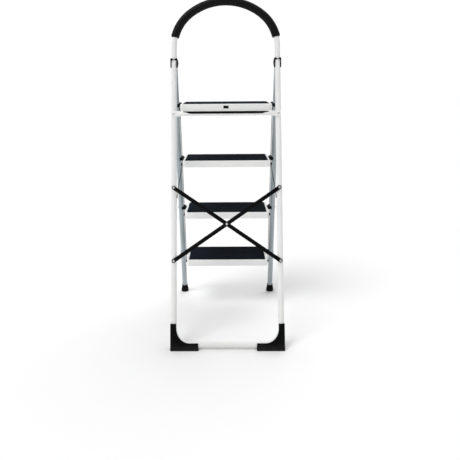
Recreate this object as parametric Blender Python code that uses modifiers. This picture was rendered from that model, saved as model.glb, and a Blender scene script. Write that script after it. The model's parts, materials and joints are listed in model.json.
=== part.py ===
"""Folding step ladder: rear frame with a handrail hoop, front frame, platform and three treads.

Metres, +Z up. The origin is on the floor under the middle of the open ladder. The climbing side
faces +Y. Rear frame pieces are drawn in the rear frame's own coordinates (x, n, s): s runs up
along the uprights from the floor and n stands out of the frame towards the front frame. Front
frame pieces use the same kind of coordinates, with s = 0 at the main pivot.
"""
from math import acos, asin, atan2, cos, degrees, hypot, pi, radians, sin, tan

import bmesh
import bpy
from mathutils import Matrix, Vector

# Driving dimensions
TUBE_R = 0.0125
TUBE_WALL = 0.0012
HALF_PITCH = 0.2275          # tube axis to the middle of the ladder
REAR_LEAN = radians(11.7)
FRONT_LEAN = radians(17.7)
FOLD = radians(29.0)
STEP_TURN = 2.44             # turn of a step per turn of the front frame
GAP = 0.0003                 # left between pieces that touch
SIDES = (("left", -1, "-x"), ("right", 1, "+x"))

# Rear frame, along the uprights
BOTTOM_S = 0.0195
BEND_R = 0.068
BRACE_BOTTOM_S = 0.371
BRACE_TOP_S = 0.682
CROSS_S = 1.0019
TUBE_JOINT_S = 1.2412
HOOP_S = 1.304               # the hoop's bends start here
HOOP_SIDE_R = 0.188
HOOP_TURN = radians(51.0)    # turn of each side bend; a wider arc joins the two
GRIP_R = 0.019
PIVOT_S = 1.2365
PIVOT_N = 0.029
CROSS_N = -0.0153
CROSS_R = 0.009
CROSS_HALF_LENGTH = 0.2385
CROSS_FLAT_X = 0.188         # the cross tube's flattened ends start here
CROSS_FLAT_RUN = 0.024
STRIP_LENGTH = 0.372
STRIP_WALL = 0.0012
STRIP_WRAP = (8.0, 188.0)     # degrees round the cross tube; its front edge clears the latch

# Steps: heights of the pad tops, and reach behind and in front of the pivots
FIRST_RISE = 0.2464
RISE = 0.2598
TREAD_HALF_WIDTH = 0.199
PLATFORM_HALF_WIDTH = 0.2015
TREAD_REACH = (0.157, 0.073)
PLATFORM_REACH = (0.135, 0.105)
PAD_TOP = 0.010              # above the pivot
PAD_THICKNESS = 0.0027
PAD_INSET = 0.010
PAN_CORNER_R = 0.016
PAD_CORNER_R = 0.009
SHEET = 0.0012
TREAD_APRON = 0.0200         # apron's lower edge below the pivot
PLATFORM_APRON = 0.0208
TIE_PIN = Vector((-0.100, -0.0135))
BAR_HALF_WIDTH = 0.005
LATCH_PIN = Vector((-0.1295, 0.0015))
LATCH_HALF_WIDTH = 0.0115
LATCH_PRESS = radians(14.0)  # drawn pressed, with its nose clear of the cross tube
TRUNNION_R = 0.0015

FOOT_THICKNESS = 0.032
FOOT_OUTER_X = 0.2413
FOOT_INNER_X = 0.2165
FOOT_ARM_X = 0.1236
FOOT_TOP_S = 0.1085
FRONT_FOOT_R = 0.019
FRONT_FOOT_HEIGHT = 0.043
FLOOR_DEPTH = 0.012          # feet are drawn this far below the floor, then cut level

PIVOT_Y = PIVOT_N * cos(REAR_LEAN) + PIVOT_S * sin(REAR_LEAN)
PIVOT_Z = PIVOT_S * cos(REAR_LEAN) - PIVOT_N * sin(REAR_LEAN)
RAIL_TO_FLOOR = PIVOT_Z / cos(FRONT_LEAN)
REAR_EDGE = -FOOT_THICKNESS / 2 / cos(REAR_LEAN)
FRONT_EDGE = PIVOT_Y + PIVOT_Z * tan(FRONT_LEAN) + FRONT_FOOT_R / cos(FRONT_LEAN)
CENTRE_Y = (REAR_EDGE + FRONT_EDGE) / 2


def clear_scene():
    for obj in list(bpy.data.objects):
        bpy.data.objects.remove(obj, do_unlink=True)
    for collection in list(bpy.data.collections):
        bpy.data.collections.remove(collection)


def new_collection(name):
    collection = bpy.data.collections.new(name)
    bpy.context.scene.collection.children.link(collection)
    return collection


clear_scene()
PARTS = new_collection("step_ladder")
CUTTERS = new_collection("step_ladder_cutters")


def material(name, colour, roughness, metallic=0.0):
    made = bpy.data.materials.new(name)
    made.use_nodes = True
    shader = made.node_tree.nodes["Principled BSDF"]
    shader.inputs["Base Color"].default_value = (*colour, 1.0)
    shader.inputs["Roughness"].default_value = roughness
    shader.inputs["Metallic"].default_value = metallic
    return made


WHITE = ((0.86, 0.86, 0.84), 0.38, 0.0)
GREY = ((0.50, 0.55, 0.58), 0.40, 0.0)
BLACK_STEEL = ((0.018, 0.018, 0.020), 0.50, 0.0)
BLACK_PLASTIC = ((0.015, 0.015, 0.017), 0.45, 0.0)
BLACK_RUBBER = ((0.020, 0.026, 0.036), 0.75, 0.0)
FOAM = ((0.014, 0.014, 0.016), 0.85, 0.0)
ZINC = ((0.62, 0.62, 0.63), 0.30, 1.0)


# Frames of reference

def empty(name, location, lean=0.0):
    obj = bpy.data.objects.new(name, None)
    PARTS.objects.link(obj)
    obj.location = location
    obj.rotation_euler = (lean, 0.0, 0.0)
    return obj


def rail_point(height):
    """World Y and Z of the rail axis at a height above the floor."""
    return Vector((PIVOT_Y - CENTRE_Y + (PIVOT_Z - height) * tan(FRONT_LEAN), height))


REAR = empty("rear_frame_datum", (0.0, -CENTRE_Y, 0.0), -REAR_LEAN)
FRONT = empty("main_pivot_datum", (0.0, PIVOT_Y - CENTRE_Y, PIVOT_Z), FRONT_LEAN)

STEPS = ("tread_4", "tread_3", "tread_2", "platform")
STEP_PIVOT = {}
STEP_DATUM = {}
for index, step in enumerate(STEPS):
    pivot = rail_point(FIRST_RISE + index * RISE - PAD_TOP)
    STEP_PIVOT[step] = pivot
    STEP_DATUM[step] = empty(f"{step}_pivot_datum", (0.0, pivot.x, pivot.y))


def step_reach(step):
    return PLATFORM_REACH if step == "platform" else TREAD_REACH


def step_half_width(step):
    return PLATFORM_HALF_WIDTH if step == "platform" else TREAD_HALF_WIDTH


def step_apron(step):
    return PLATFORM_APRON if step == "platform" else TREAD_APRON


# Shapes

def arc(centre, radius, start, end, count):
    """Points on an arc, angles in degrees, both ends included."""
    turns = [radians(start + (end - start) * i / count) for i in range(count + 1)]
    return [(centre[0] + radius * cos(t), centre[1] + radius * sin(t)) for t in turns]


def circle(centre, radius, count=12):
    return arc(centre, radius, 0.0, 360.0, count)[:-1]


def rounded_rectangle(low, high, radius, count=5):
    """Corner arcs of a rectangle between two opposite points."""
    corners = ((high[0], low[1], -90.0), (high[0], high[1], 0.0),
               (low[0], high[1], 90.0), (low[0], low[1], 180.0))
    points = []
    for x, y, start in corners:
        centre = (x - radius if x == high[0] else x + radius,
                  y - radius if y == high[1] else y + radius)
        points += arc(centre, radius, start, start + 90.0, count)
    return points


def stadium(length, half_width, count=6):
    """Bar outline with round ends about (0, 0) and (length, 0)."""
    return (arc((length, 0.0), half_width, -90.0, 90.0, count)
            + arc((0.0, 0.0), half_width, 90.0, 270.0, count))


def weld(mesh):
    work = bmesh.new()
    work.from_mesh(mesh)
    bmesh.ops.remove_doubles(work, verts=work.verts, dist=1e-6)
    bmesh.ops.recalc_face_normals(work, faces=work.faces)
    work.to_mesh(mesh)
    work.free()


def evaluated_mesh(data, modify=None):
    """The mesh that an object with this data shows once its modifiers have run."""
    guide = bpy.data.objects.new("guide", data)
    CUTTERS.objects.link(guide)
    if modify:
        modify(guide)
    graph = bpy.context.evaluated_depsgraph_get()
    mesh = bpy.data.meshes.new_from_object(guide.evaluated_get(graph))
    bpy.data.objects.remove(guide)
    return mesh


PLANES = {"level": Matrix.Identity(4),
          "front": Matrix.Rotation(pi / 2, 4, "X"),
          "side": Matrix(((0, 0, 1, 0), (1, 0, 0, 0), (0, 1, 0, 0), (0, 0, 0, 1)))}


def plate(loops, thickness, plane, centre=0.0):
    """Flat piece from an outline and its holes; centre is its place along its own normal."""
    curve = bpy.data.curves.new("outline", "CURVE")
    curve.dimensions = "2D"
    curve.fill_mode = "BOTH"
    curve.extrude = thickness / 2
    for loop in loops:
        spline = curve.splines.new("POLY")
        spline.points.add(len(loop) - 1)
        for point, (u, v) in zip(spline.points, loop):
            point.co = (u, v, 0.0, 1.0)
        spline.use_cyclic_u = True
    mesh = evaluated_mesh(curve)
    bpy.data.curves.remove(curve)
    weld(mesh)
    mesh.transform(PLANES[plane] @ Matrix.Translation((0.0, 0.0, centre)))
    return mesh


def swept(points, radius, caps=True, resolution=4):
    """Round bar or open tube skin along a line of points."""
    curve = bpy.data.curves.new("path", "CURVE")
    curve.dimensions = "3D"
    curve.bevel_depth = radius
    curve.bevel_resolution = resolution
    curve.use_fill_caps = caps
    spline = curve.splines.new("POLY")
    spline.points.add(len(points) - 1)
    for point, co in zip(spline.points, points):
        point.co = (*co, 1.0)
    mesh = evaluated_mesh(curve)
    bpy.data.curves.remove(curve)
    weld(mesh)
    return mesh


def turned(profile, steps=12):
    """Solid of revolution about Z from (radius, height) points, top to bottom."""
    mesh = bpy.data.meshes.new("profile")
    edges = [(i, i + 1) for i in range(len(profile) - 1)]
    mesh.from_pydata([(r, 0.0, z) for r, z in profile], edges, [])

    def revolve(guide):
        screw = guide.modifiers.new("screw", "SCREW")
        screw.steps = steps
        screw.render_steps = steps
        screw.use_merge_vertices = True
        screw.merge_threshold = 1e-6

    made = evaluated_mesh(mesh, revolve)
    weld(made)
    return made


def fastener(head_r, head_h, shank_r, length, tail_r=0.0, tail_h=0.0, steps=12):
    """Rivet, pin or bolt along Z: shank from 0 to length, domed head above, tail below."""
    profile = [(0.0, length + head_h), (0.6 * head_r, length + head_h),
               (head_r, length + 0.45 * head_h), (head_r, length), (shank_r, length), (shank_r, 0.0)]
    if tail_r:
        profile += [(tail_r, 0.0), (tail_r, -tail_h), (0.0, -tail_h)]
    else:
        profile += [(0.0, 0.0)]
    return turned(profile, steps)


def aim(direction):
    """Rotation that takes +Z to +X, -X or -Y."""
    return {"+x": Matrix.Rotation(pi / 2, 4, "Y"), "-x": Matrix.Rotation(-pi / 2, 4, "Y"),
            "-y": Matrix.Rotation(pi / 2, 4, "X")}[direction]


def placed(mesh, place, way):
    """Copy of a piece drawn along Z, moved to a place and aimed."""
    copy = mesh.copy()
    copy.transform(Matrix.Translation(place) @ aim(way))
    return copy


def bend(mesh, stations, offset):
    """Cuts a bar lying along X at the stations and moves it along Y by offset(x)."""
    work = bmesh.new()
    work.from_mesh(mesh)
    for x in stations:
        geometry = work.verts[:] + work.edges[:] + work.faces[:]
        bmesh.ops.bisect_plane(work, geom=geometry, plane_co=(x, 0, 0), plane_no=(1, 0, 0))
    for vertex in work.verts:
        vertex.co.y += offset(vertex.co.x)
    bmesh.ops.triangulate(work, faces=[f for f in work.faces if len(f.verts) > 4])
    work.to_mesh(mesh)
    work.free()


def ease(t):
    t = min(max(t, 0.0), 1.0)
    return t * t * (3.0 - 2.0 * t)


def node(name, mesh, parent, look, smooth=True):
    mesh.name = name
    if smooth:
        mesh.shade_smooth()
        mesh.set_sharp_from_angle(angle=radians(40.0))
    mesh.materials.clear()
    mesh.materials.append(material(name, *look))
    obj = bpy.data.objects.new(name, mesh)
    PARTS.objects.link(obj)
    obj.parent = parent
    return obj


def hollow(obj, wall):
    """Gives an open tube skin its wall, inwards."""
    solidify = obj.modifiers.new("wall", "SOLIDIFY")
    solidify.thickness = wall
    solidify.offset = -1.0
    solidify.use_even_offset = True


def boolean(obj, mesh, parent, operation="DIFFERENCE"):
    cutter = bpy.data.objects.new(f"{obj.name}_cutter", mesh)
    CUTTERS.objects.link(cutter)
    cutter.parent = parent
    cutter.hide_render = True
    cutter.display_type = "WIRE"
    modifier = obj.modifiers.new("cut", "BOOLEAN")
    modifier.operation = operation
    modifier.object = cutter


def box(low, high):
    work = bmesh.new()
    size = Vector(high) - Vector(low)
    middle = (Vector(high) + Vector(low)) / 2
    bmesh.ops.create_cube(work, size=1.0, matrix=Matrix.Translation(middle) @ Matrix.Diagonal((*size, 1.0)))
    mesh = bpy.data.meshes.new("box")
    work.to_mesh(mesh)
    work.free()
    return mesh


def rods(holes, steps=12):
    """Cutter of separate rods, each (start, end, radius)."""
    work = bmesh.new()
    for start, end, radius in holes:
        run = Vector(end) - Vector(start)
        turn = Vector((0, 0, 1)).rotation_difference(run).to_matrix().to_4x4()
        place = Matrix.Translation((Vector(start) + Vector(end)) / 2) @ turn
        bmesh.ops.create_cone(work, cap_ends=True, segments=steps, radius1=radius, radius2=radius,
                              depth=run.length, matrix=place)
    mesh = bpy.data.meshes.new("rods")
    work.to_mesh(mesh)
    work.free()
    return mesh


# Rear frame

RIVET_HOLE = 0.0027
RIVET_SHANK = 0.0024
PIVOT_BOLT_R = 0.0040
PIVOT_HOLE_R = 0.0043
BRACKET_HALF_WIDTH = 0.0155
SCREW_R = 0.0018
SCREW_HOLE_R = 0.0021
SCREW_S = 1.2445
LINK_TUBE_X = (0.2125, 0.2143)   # link bar's faces beside the upright
LINK_STEP_X = (0.2050, 0.2068)   # and beside the tread
TIE_X = (0.2026, 0.2044)
PIN_SHANK = 0.0025
PIN_HOLE = 0.0028


def link_low_s():
    """Place on the upright at the same distance from both end positions of the upper link pin."""
    pin_open = STEP_PIVOT["tread_2"] + TIE_PIN
    pivot = Vector((PIVOT_Y - CENTRE_Y, PIVOT_Z))
    centre = turn_back(STEP_PIVOT["tread_2"] - pivot, FOLD) + pivot
    pin_folded = centre + turn_back(TIE_PIN, FOLD * (1.0 + STEP_TURN))
    base = Vector((-CENTRE_Y, 0.0))
    along = Vector((sin(REAR_LEAN), cos(REAR_LEAN)))
    chord = pin_folded - pin_open
    return ((pin_open + pin_folded) / 2 - base).dot(chord) / along.dot(chord)


def turn_back(vector, angle):
    """Turns a (y, z) vector about -X."""
    return Vector((vector.x * cos(angle) + vector.y * sin(angle),
                   vector.y * cos(angle) - vector.x * sin(angle)))


LINK_LOW_S = link_low_s()


def u_path(top):
    left = arc((-HALF_PITCH + BEND_R, BOTTOM_S + BEND_R), BEND_R, 180.0, 270.0, 8)
    right = arc((HALF_PITCH - BEND_R, BOTTOM_S + BEND_R), BEND_R, 270.0, 360.0, 8)
    line = [(-HALF_PITCH, top)] + left + right + [(HALF_PITCH, top)]
    return [(x, 0.0, s) for x, s in line]


def rear_u_tube():
    tube = node("rear_u_tube", swept(u_path(TUBE_JOINT_S), TUBE_R, caps=False), REAR, WHITE)
    hollow(tube, TUBE_WALL)
    holes = []
    for side in (-1, 1):
        x = side * HALF_PITCH
        for s in (BRACE_BOTTOM_S, BRACE_TOP_S, CROSS_S):
            holes.append(((x, -0.03, s), (x, -0.006, s), RIVET_HOLE))
        holes.append(((x - side * 0.03, 0.0, LINK_LOW_S), (x - side * 0.005, 0.0, LINK_LOW_S), PIN_HOLE))
    boolean(tube, rods(holes), REAR)


def screw_hole(side):
    x = side * HALF_PITCH
    return (x + side * 0.005, 0.0, SCREW_S), (x + side * 0.03, 0.0, SCREW_S), SCREW_HOLE_R


def hoop_path():
    """Hoop's axis from the start of the right bend, over the top, to the end of the left one."""
    turn = degrees(HOOP_TURN)
    side_centre = (HALF_PITCH - HOOP_SIDE_R, HOOP_S)
    joint = (side_centre[0] + HOOP_SIDE_R * cos(HOOP_TURN), HOOP_S + HOOP_SIDE_R * sin(HOOP_TURN))
    top_r = joint[0] / cos(HOOP_TURN)
    side = arc(side_centre, HOOP_SIDE_R, 0.0, turn, 13)
    top = arc((0.0, joint[1] - top_r * sin(HOOP_TURN)), top_r, turn, 180.0 - turn, 16)
    other = [(-x, s) for x, s in reversed(side)]
    return [(x, 0.0, s) for x, s in side + top[1:-1] + other]


def hoop():
    start = TUBE_JOINT_S + GAP
    bow = [(HALF_PITCH, 0.0, start)] + hoop_path() + [(-HALF_PITCH, 0.0, start)]
    tube = node("hoop_tube", swept(bow, TUBE_R, caps=False), REAR, WHITE)
    hollow(tube, TUBE_WALL)
    boolean(tube, rods([screw_hole(-1), screw_hole(1)]), REAR)

    grip_start = 3
    grip = node("hoop_grip", swept(hoop_path()[grip_start:-grip_start], GRIP_R, caps=False), REAR, FOAM)
    hollow(grip, GRIP_R - TUBE_R - GAP)


PLUG_R = 0.0107
PLUG_END_R = 0.0085
PLUG_CHAMFER = 0.003
PLUG_LENGTH = 0.048
PLUG_BOTTOM_S = 1.2165


def hoop_plugs():
    profile = [(0.0, PLUG_LENGTH), (PLUG_END_R, PLUG_LENGTH), (PLUG_R, PLUG_LENGTH - PLUG_CHAMFER),
               (PLUG_R, PLUG_CHAMFER), (PLUG_END_R, 0.0), (0.0, 0.0)]
    for name, side, _ in SIDES:
        mesh = turned(profile)
        mesh.transform(Matrix.Translation((side * HALF_PITCH, 0.0, PLUG_BOTTOM_S)))
        plug = node(f"hoop_plug_{name}", mesh, REAR, BLACK_PLASTIC)
        boolean(plug, rods([screw_hole(side)]), REAR)


def cross_tube():
    flat_end = CROSS_FLAT_X + CROSS_FLAT_RUN
    ends = [CROSS_FLAT_X + CROSS_FLAT_RUN * i / 4 for i in range(5)]
    ends += [(flat_end + CROSS_HALF_LENGTH) / 2, CROSS_HALF_LENGTH]
    stations = [-x for x in reversed(ends)] + [0.0] + ends
    mesh = swept([(x, 0.0, 0.0) for x in stations], CROSS_R, caps=False)
    for vertex in mesh.vertices:
        flat = ease((abs(vertex.co.x) - CROSS_FLAT_X) / CROSS_FLAT_RUN)
        vertex.co.y *= 1.0 - 0.72 * flat
        vertex.co.z *= 1.0 + 0.36 * flat
    mesh.transform(Matrix.Translation((0.0, CROSS_N, CROSS_S)))
    tube = node("cross_tube", mesh, REAR, WHITE)
    hollow(tube, 0.001)
    holes = [((side * HALF_PITCH, -0.03, CROSS_S), (side * HALF_PITCH, -0.006, CROSS_S), RIVET_HOLE)
             for side in (-1, 1)]
    boolean(tube, rods(holes), REAR)

    rivet = fastener(0.0046, 0.0018, RIVET_SHANK, 0.0095, steps=10)
    for name, side, _ in SIDES:
        mesh = placed(rivet, (side * HALF_PITCH, -0.0086, CROSS_S), "-y")
        node(f"cross_tube_rivet_{name}", mesh, REAR, ZINC)


def rest_strip():
    inner = CROSS_R + GAP
    start, end = STRIP_WRAP
    section = arc((CROSS_N, CROSS_S), inner + STRIP_WALL, start, end, 12)
    section += arc((CROSS_N, CROSS_S), inner, end, start, 12)
    node("rest_strip", plate([section], STRIP_LENGTH, "side"), REAR, BLACK_RUBBER)


BRACE_HALF_WIDTH = 0.0086
BRACE_THICKNESS = 0.0025


def brace_bars():
    rise = BRACE_TOP_S - BRACE_BOTTOM_S
    length = hypot(2 * HALF_PITCH, rise)
    slope = atan2(rise, 2 * HALF_PITCH)
    middle = (BRACE_TOP_S + BRACE_BOTTOM_S) / 2
    thickness = BRACE_THICKNESS
    face = -TUBE_R - GAP - thickness / 2

    def bow(x):
        return -(thickness + GAP) * ease((0.095 - abs(x)) / 0.065)

    stations = [side * x for side in (-1, 1) for x in (0.03, 0.046, 0.062, 0.078, 0.095)]
    for name, tilt, bowed in (("brace_bar_inner", -slope, False), ("brace_bar_outer", slope, True)):
        ends = [(x, 0.0) for x in (0.0, length / 2, length)]
        loops = [stadium(length, BRACE_HALF_WIDTH)] + [circle(end, RIVET_HOLE, 10) for end in ends]
        mesh = plate(loops, thickness, "front")
        mesh.transform(Matrix.Translation((-length / 2, 0.0, 0.0)))
        if bowed:
            bend(mesh, stations, bow)
        mesh.transform(Matrix.Translation((0.0, face, middle)) @ Matrix.Rotation(-tilt, 4, "Y"))
        node(name, mesh, REAR, BLACK_STEEL)

    rivet = fastener(0.0050, 0.0019, RIVET_SHANK, 0.0068, steps=12)
    for name, side, _ in SIDES:
        for level, s in (("bottom", BRACE_BOTTOM_S), ("top", BRACE_TOP_S)):
            mesh = placed(rivet, (side * HALF_PITCH, -0.0088, s), "-y")
            node(f"brace_rivet_{level}_{name}", mesh, REAR, ZINC)
    start = -TUBE_R
    run = 2 * thickness + 3 * GAP
    centre = fastener(0.0050, 0.0019, RIVET_SHANK, run, 0.0042, 0.0014)
    centre.transform(Matrix.Translation((0.0, start, middle)) @ aim("-y"))
    node("brace_centre_rivet", centre, REAR, ZINC)


def floor_block():
    return box((-0.4, -0.9, -0.2), (0.4, 0.9, 0.0))


def corner_feet():
    """L-shaped shoes; the bend's inner side stays bare, so the tube shows in their hollow."""
    centre = (HALF_PITCH - BEND_R, BOTTOM_S + BEND_R)
    high_r = FOOT_INNER_X - centre[0]
    count = 10
    inside = []
    for i in range(count + 1):
        turn = radians(-90.0 * i / count)
        radius = high_r + 0.0030 * ease(i / count)
        inside.append((centre[0] + radius * cos(turn), centre[1] + radius * sin(turn)))
    outline = [(FOOT_OUTER_X, -0.02), (FOOT_OUTER_X, FOOT_TOP_S - 0.002), (FOOT_OUTER_X - 0.001, FOOT_TOP_S),
               (FOOT_INNER_X, FOOT_TOP_S)]
    outline += inside + [(FOOT_ARM_X, inside[-1][1]), (FOOT_ARM_X, -0.02)]
    for name, side, _ in SIDES:
        mesh = plate([[(side * x, s) for x, s in outline]], FOOT_THICKNESS, "front")
        foot = node(f"corner_foot_{name}", mesh, REAR, BLACK_RUBBER)
        boolean(foot, swept(u_path(0.3), TUBE_R + GAP), REAR)
        boolean(foot, floor_block(), None)


# Hinge brackets, heights measured from the main pivot
BRACKET_TOP = 0.011
COLLAR_LOW = 0.004
BRACKET_LOW = -0.0285
CHEEK_R = 0.0135
SCOOP_R = 0.0090
SCOOP_S = 0.0155
ROOF_LOW = 0.0085            # the collar's front edge, above the rail's end
ROOF_N = 0.019


def hinge_brackets():
    top = PIVOT_S + BRACKET_TOP
    collar = PIVOT_S + COLLAR_LOW
    low = PIVOT_S + BRACKET_LOW
    outline = [(-0.0105, low), (0.010, low)]
    outline += arc((PIVOT_N, PIVOT_S), CHEEK_R, -75.0, 75.0, 9)
    outline += [(0.018, top), (-0.0155, top), (-0.0155, collar), (-0.0105, collar - 0.002)]
    for name, side, _ in SIDES:
        x = side * HALF_PITCH
        mesh = plate([outline], 2 * BRACKET_HALF_WIDTH, "side", x)
        bracket = node(f"hinge_bracket_{name}", mesh, REAR, BLACK_PLASTIC)
        upright = ((x, 0, low - 0.02), (x, 0, top + 0.02), TUBE_R + GAP)
        scoop = ((x, -0.03, PIVOT_S + SCOOP_S), (x, 0.0, PIVOT_S + SCOOP_S), SCOOP_R)
        pivot_hole = ((x - 0.03, PIVOT_N, PIVOT_S), (x + 0.03, PIVOT_N, PIVOT_S), PIVOT_HOLE_R)
        half_slot = TUBE_R + 2 * GAP
        boolean(bracket, rods([upright], 24), REAR)
        boolean(bracket, rods([scoop], 20), REAR)
        boolean(bracket, box((x - TUBE_R, -0.03, low - 0.01), (x + TUBE_R, 0.0, collar)), REAR)
        boolean(bracket, box((x - half_slot, 0.001, low - 0.01), (x + half_slot, 0.06, PIVOT_S + ROOF_LOW)), REAR)
        boolean(bracket, box((x - half_slot, ROOF_N, low - 0.01), (x + half_slot, 0.06, top + 0.02)), REAR)
        boolean(bracket, rods([pivot_hole, screw_hole(side)]), REAR)


def bracket_fasteners():
    run = 2 * (BRACKET_HALF_WIDTH + GAP)
    screw_run = 0.0080
    bolt = fastener(0.0065, 0.0021, PIVOT_BOLT_R, run, 0.0058, 0.0023)
    screw = fastener(0.0030, 0.0016, SCREW_R, screw_run, steps=8)
    for name, side, way in SIDES:
        start = side * (HALF_PITCH - BRACKET_HALF_WIDTH - GAP)
        node(f"main_pivot_bolt_{name}", placed(bolt, (start, PIVOT_N, PIVOT_S), way), REAR, ZINC)
        start = side * (HALF_PITCH + BRACKET_HALF_WIDTH + GAP - screw_run)
        node(f"hoop_screw_{name}", placed(screw, (start, 0.0, SCREW_S), way), REAR, ZINC)


def link_lower_pins():
    length = 0.0060
    pin = fastener(0.0042, 0.0016, PIN_SHANK, length, steps=10)
    for name, side, _ in SIDES:
        inward = "+x" if side < 0 else "-x"
        start = side * (LINK_TUBE_X[0] - GAP + length)
        node(f"link_pin_{name}", placed(pin, (start, 0.0, LINK_LOW_S), inward), REAR, ZINC)


# Front frame

STEP_BOLT_R = 0.0030
STEP_HOLE_R = 0.0033
RAIL_TOP = 0.006
RAIL_BOTTOM = -RAIL_TO_FLOOR + 0.012


def step_distance(step):
    """Distance of a step's pivot below the main pivot, along the rail."""
    return (PIVOT_Z - STEP_PIVOT[step].y) / cos(FRONT_LEAN)


def rails():
    for name, side, _ in SIDES:
        x = side * HALF_PITCH
        skin = swept([(x, 0, RAIL_BOTTOM), (x, 0, RAIL_TOP)], TUBE_R, caps=False)
        rail = node(f"rail_{name}", skin, FRONT, GREY)
        hollow(rail, TUBE_WALL)
        holes = [((x - 0.03, 0, 0), (x + 0.03, 0, 0), PIVOT_HOLE_R)]
        for step in STEPS:
            s = -step_distance(step)
            holes.append(((x - 0.03, 0, s), (x + 0.03, 0, s), STEP_HOLE_R))
        boolean(rail, rods(holes), FRONT)


def front_feet():
    ground = -RAIL_TO_FLOOR
    above = ground + FRONT_FOOT_HEIGHT
    below = ground - FLOOR_DEPTH
    profile = [(0.0, above), (0.0146, above), (0.0152, above - 0.002), (0.0156, ground + 0.030),
               (0.0180, ground + 0.018), (FRONT_FOOT_R, ground + 0.010), (FRONT_FOOT_R, below), (0.0, below)]
    for name, side, _ in SIDES:
        x = side * HALF_PITCH
        mesh = turned(profile, 20)
        mesh.transform(Matrix.Translation((x, 0, 0)))
        foot = node(f"front_foot_{name}", mesh, FRONT, BLACK_RUBBER)
        boolean(foot, rods([((x, 0, RAIL_BOTTOM - GAP), (x, 0, above + 0.02), TUBE_R + GAP)], 24), FRONT)
        boolean(foot, floor_block(), None)


def step_pivot_bolts():
    for step in STEPS:
        inner = step_half_width(step) - SHEET - GAP
        run = HALF_PITCH + TUBE_R + GAP - inner
        bolt = fastener(0.0062, 0.0030, STEP_BOLT_R, run, 0.0052, 0.0030, steps=10)
        for name, side, way in SIDES:
            mesh = placed(bolt, (side * inner, 0.0, -step_distance(step)), way)
            node(f"{step}_bolt_{name}", mesh, FRONT, ZINC)


# Saddles: black spacers that cradle the rail at each step's bolt
SADDLE_X = (0.2048, 0.2235)
SADDLE_HALF_HEIGHT = 0.0085
SADDLE_HALF_DEPTH = 0.011
SADDLE_WALL = 0.0015
SADDLE_BOSS_R = 0.0075


def saddle_outline():
    """Seen along the rail, from the rail's axis, on the right side."""
    wrap_r = TUBE_R + GAP + SADDLE_WALL
    seat_r = TUBE_R + GAP
    reach = SADDLE_X[1] - HALF_PITCH
    shoulder = 180.0 - degrees(asin(SADDLE_HALF_DEPTH / wrap_r))
    wrap_end = degrees(acos(reach / wrap_r))
    seat_end = degrees(acos(reach / seat_r))
    inner = SADDLE_X[0] - HALF_PITCH
    outline = [(inner, -SADDLE_HALF_DEPTH)]
    outline += arc((0.0, 0.0), wrap_r, -shoulder, -wrap_end, 3)
    outline += arc((0.0, 0.0), seat_r, 360.0 - seat_end, seat_end, 12)
    outline += arc((0.0, 0.0), wrap_r, wrap_end, shoulder, 3)
    return outline + [(inner, SADDLE_HALF_DEPTH)]


def saddles():
    inner, outer = SADDLE_X
    for step in STEPS:
        s = -step_distance(step)
        start = step_half_width(step) + GAP
        for name, side, _ in SIDES:
            outline = [(side * (HALF_PITCH + x), n) for x, n in saddle_outline()]
            mesh = plate([outline], 2 * SADDLE_HALF_HEIGHT, "level", s)
            saddle = node(f"{step}_saddle_{name}", mesh, FRONT, BLACK_PLASTIC)
            boss = ((side * start, 0, s), (side * (inner + 0.002), 0, s), SADDLE_BOSS_R)
            hole = ((side * (start - 0.002), 0, s), (side * outer, 0, s), STEP_HOLE_R)
            boolean(saddle, rods([boss], 16), FRONT, "UNION")
            boolean(saddle, rods([hole]), FRONT)


# Platform and treads, drawn from their own pivots

SLOT = ((-0.0135, -0.0107), (0.0135, 0.0019))
SLOT_CORNER_R = 0.0025
LIP_REACH = 0.019
LIP_HALF_WIDTH = 0.180
EAR_X = LATCH_HALF_WIDTH + GAP + SHEET / 2


def pan(step):
    back, front = step_reach(step)
    half = step_half_width(step)
    apron = step_apron(step)
    datum = STEP_DATUM[step]
    top = PAD_TOP - PAD_THICKNESS - GAP
    outline = rounded_rectangle((-half, -back), (half, front), PAN_CORNER_R)
    mesh = plate([outline], top + apron, "level", (top - apron) / 2)
    body = node(f"{step}_pan", mesh, datum, WHITE)
    inner = rounded_rectangle((SHEET - half, SHEET - back), (half - SHEET, front - SHEET), PAN_CORNER_R - SHEET)
    roof = top - SHEET
    floor = -apron - 0.01
    boolean(body, plate([inner], roof - floor, "level", (roof + floor) / 2), datum)
    if step == "platform":
        add_latch_seat(body, datum, back, apron, roof)
    studs = [((side * (half - SHEET / 2), *TIE_PIN), (side * (TIE_X[1] + GAP), *TIE_PIN), PIN_SHANK)
             for side in (-1, 1)]
    boolean(body, rods(studs), datum, "UNION")
    boolean(body, rods([((-0.25, 0.0, 0.0), (0.25, 0.0, 0.0), STEP_HOLE_R)]), datum)


def add_latch_seat(body, datum, back, apron, roof):
    """Lip that rests on the cross tube, slot for the button, two ears for the latch."""
    lip = rounded_rectangle((-LIP_HALF_WIDTH, -back - LIP_REACH), (LIP_HALF_WIDTH, SHEET / 2 - back), 0.004, 2)
    boolean(body, plate([lip], SHEET, "level", SHEET / 2 - apron), datum, "UNION")
    boolean(body, plate([rounded_rectangle(*SLOT, SLOT_CORNER_R)], 0.02, "front", back), datum)
    low = (LATCH_PIN.x - 0.0035, -0.0035)
    high = (LATCH_PIN.x + 0.0050, roof + SHEET / 2)
    hole = circle(LATCH_PIN, TRUNNION_R + GAP, 10)
    for side in (-1, 1):
        ear = plate([rounded_rectangle(low, high, 0.001, 2), hole], SHEET, "side", side * EAR_X)
        boolean(body, ear, datum, "UNION")


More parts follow.
